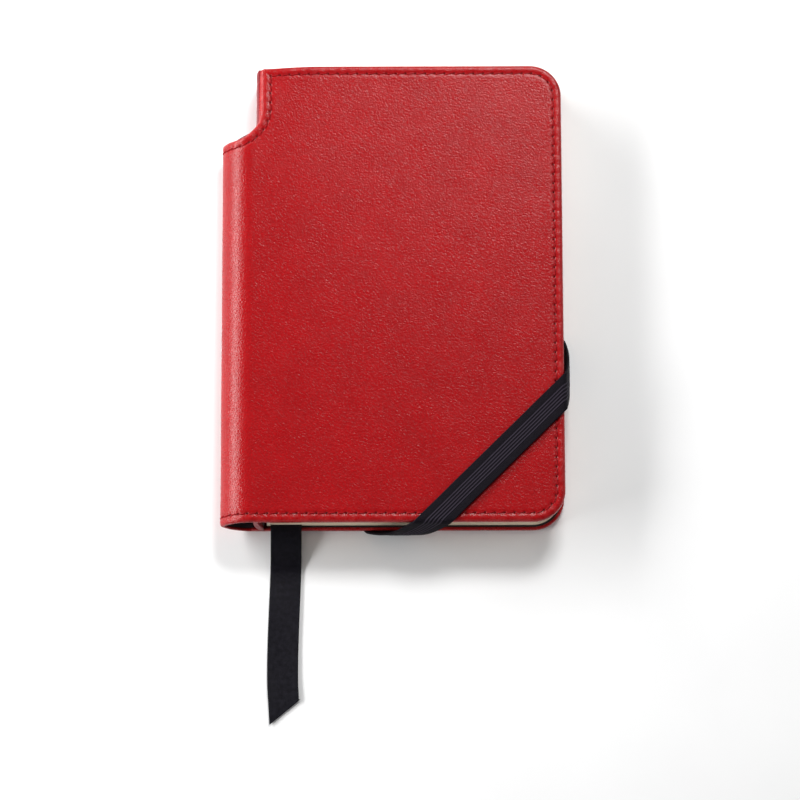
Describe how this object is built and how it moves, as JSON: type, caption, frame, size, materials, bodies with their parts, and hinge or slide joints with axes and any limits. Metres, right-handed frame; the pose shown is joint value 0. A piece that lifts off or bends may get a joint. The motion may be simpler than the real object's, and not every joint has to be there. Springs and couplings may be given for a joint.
{
  "type": "pocket notebook",
  "caption": "Pocket notebook in a stitched leather case, with a hollow pen sleeve along the spine, sewn page sections, a ribbon marker and an elastic across one corner.",
  "frame": {"origin": "middle of the closed case's back face, on the surface it lies on; the ribbon isn't counted", "axes": "+X from the spine to the fore edge, +Y to the head, +Z out of the front cover"},
  "size_m": [0.1023, 0.198, 0.0144],
  "materials": {
    "leather": "satin",
    "board": "matte",
    "cover_lining": "matte",
    "sleeve_lining": "matte",
    "cover_thread": "satin",
    "page_paper": "matte",
    "flyleaf_paper": "matte",
    "sewing_thread": "matte",
    "mull_cloth": "matte",
    "ribbon_satin": "satin",
    "elastic": "matte"
  },
  "bodies": {
    "back_case": {"back_cover_leather": "leather", "back_cover_board": "board", "back_cover_lining": "cover_lining", "back_cover_stitching": "cover_thread", "pen_sleeve_leather": "leather", "pen_sleeve_lining": "sleeve_lining", "sleeve_stitching": "cover_thread", "spine_wall_leather": "leather", "spine_inlay": "board", "spine_mull": "mull_cloth", "sewing_thread": "sewing_thread", "text_block_folds": "page_paper", "section_09": "page_paper", "section_10": "page_paper", "back_flyleaf": "flyleaf_paper", "ribbon_bookmark": "ribbon_satin", "elastic_tails": "elastic"},
    "front_cover": {"front_cover_leather": "leather", "front_cover_board": "board", "front_cover_lining": "cover_lining", "front_cover_stitching": "cover_thread"},
    "front_flyleaf": {"front_flyleaf": "flyleaf_paper"},
    "section_01": {"section_01": "page_paper"},
    "section_02": {"section_02": "page_paper"},
    "section_03": {"section_03": "page_paper"},
    "section_04": {"section_04": "page_paper"},
    "section_05": {"section_05": "page_paper"},
    "section_06": {"section_06": "page_paper"},
    "section_07": {"section_07": "page_paper"},
    "section_08": {"section_08": "page_paper"},
    "elastic_band": {"elastic_band": "elastic"}
  },
  "joints": [
    {"name": "front_cover_hinge", "type": "hinge", "parent": "back_case", "child": "front_cover", "pos_m": [-0.0387, 0, 0.0136], "axis": [0, -1, 0], "range_deg": [0, 180]},
    {"name": "front_flyleaf_turn", "type": "hinge", "parent": "back_case", "child": "front_flyleaf", "pos_m": [-0.0387, 0, 0.0136], "axis": [0, -1, 0], "range_deg": [0, 178.2]},
    {"name": "section_01_turn", "type": "hinge", "parent": "back_case", "child": "section_01", "pos_m": [-0.0387, 0, 0.0136], "axis": [0, -1, 0], "range_deg": [0, 176.4]},
    {"name": "section_02_turn", "type": "hinge", "parent": "back_case", "child": "section_02", "pos_m": [-0.0387, 0, 0.0136], "axis": [0, -1, 0], "range_deg": [0, 174.6]},
    {"name": "section_03_turn", "type": "hinge", "parent": "back_case", "child": "section_03", "pos_m": [-0.0387, 0, 0.0136], "axis": [0, -1, 0], "range_deg": [0, 172.8]},
    {"name": "section_04_turn", "type": "hinge", "parent": "back_case", "child": "section_04", "pos_m": [-0.0387, 0, 0.0136], "axis": [0, -1, 0], "range_deg": [0, 171]},
    {"name": "section_05_turn", "type": "hinge", "parent": "back_case", "child": "section_05", "pos_m": [-0.0387, 0, 0.0136], "axis": [0, -1, 0], "range_deg": [0, 169.2]},
    {"name": "section_06_turn", "type": "hinge", "parent": "back_case", "child": "section_06", "pos_m": [-0.0387, 0, 0.0136], "axis": [0, -1, 0], "range_deg": [0, 9]},
    {"name": "section_07_turn", "type": "hinge", "parent": "back_case", "child": "section_07", "pos_m": [-0.0387, 0, 0.0136], "axis": [0, -1, 0], "range_deg": [0, 5.4]},
    {"name": "section_08_turn", "type": "hinge", "parent": "back_case", "child": "section_08", "pos_m": [-0.0387, 0, 0.0136], "axis": [0, -1, 0], "range_deg": [0, 2.7]},
    {"name": "elastic_band_swing", "type": "hinge", "parent": "back_case", "child": "elastic_band", "pos_m": [0.0514, -0.0186, 0.0003], "axis": [0.7071, 0.7071, 0], "range_deg": [0, 180], "deforming": ["elastic_band"]}
  ],
  "couplings": [
    {"joint": "front_flyleaf_turn", "follows": "front_cover_hinge", "ratio": 0.99},
    {"joint": "section_01_turn", "follows": "front_cover_hinge", "ratio": 0.98},
    {"joint": "section_02_turn", "follows": "front_cover_hinge", "ratio": 0.97},
    {"joint": "section_03_turn", "follows": "front_cover_hinge", "ratio": 0.96},
    {"joint": "section_04_turn", "follows": "front_cover_hinge", "ratio": 0.95},
    {"joint": "section_05_turn", "follows": "front_cover_hinge", "ratio": 0.94},
    {"joint": "section_06_turn", "follows": "front_cover_hinge", "ratio": 0.05},
    {"joint": "section_07_turn", "follows": "front_cover_hinge", "ratio": 0.03},
    {"joint": "section_08_turn", "follows": "front_cover_hinge", "ratio": 0.015},
    {"joint": "elastic_band_swing", "follows": "front_cover_hinge", "ratio": 1}
  ]
}
